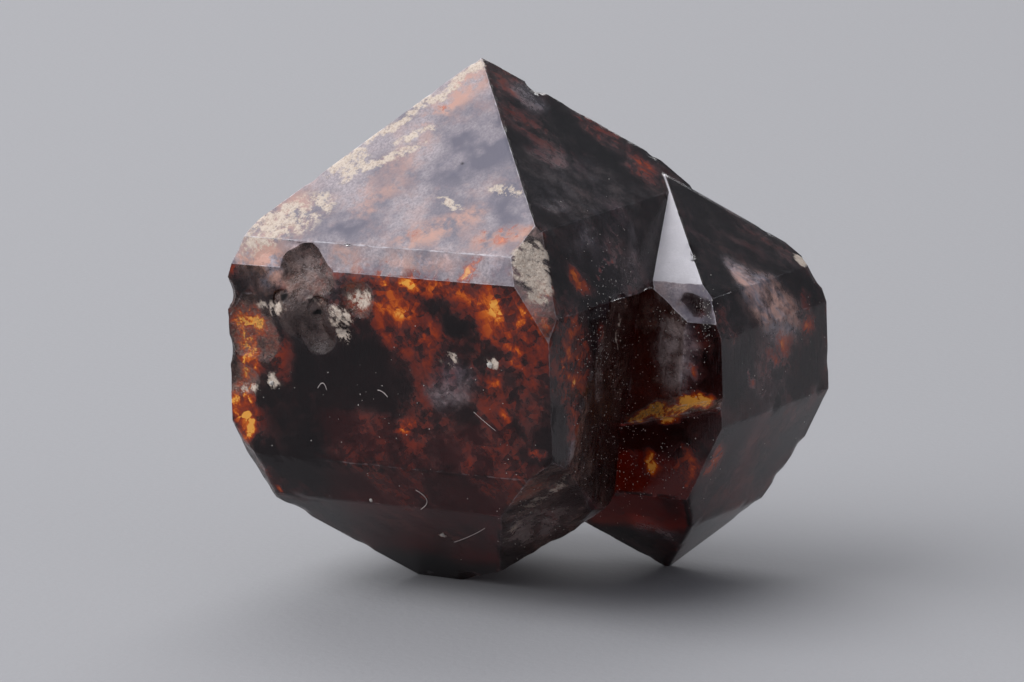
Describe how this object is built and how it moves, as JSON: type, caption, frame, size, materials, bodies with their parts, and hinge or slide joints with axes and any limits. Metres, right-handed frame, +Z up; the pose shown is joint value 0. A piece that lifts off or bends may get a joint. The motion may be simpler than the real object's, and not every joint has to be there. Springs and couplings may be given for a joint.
{
  "type": "zircon crystal",
  "caption": "Dark red-brown zircon crystal group: a large doubly terminated tetragonal crystal with a smaller one grown beside it in parallel.",
  "frame": {"origin": "bottom centre of the crystal group's box, on the surface it stands on", "axes": "+Z up, close to both crystals' long axes; +X to the right of the front view, from the large crystal towards the small one; +Y to the back"},
  "size_m": [0.022, 0.0188, 0.0192],
  "materials": {
    "zircon": "vitreous dark red-brown crystal, frosted on the faces that catch the light"
  },
  "bodies": {
    "root": {"zircon_crystal": "zircon"}
  },
  "joints": []
}
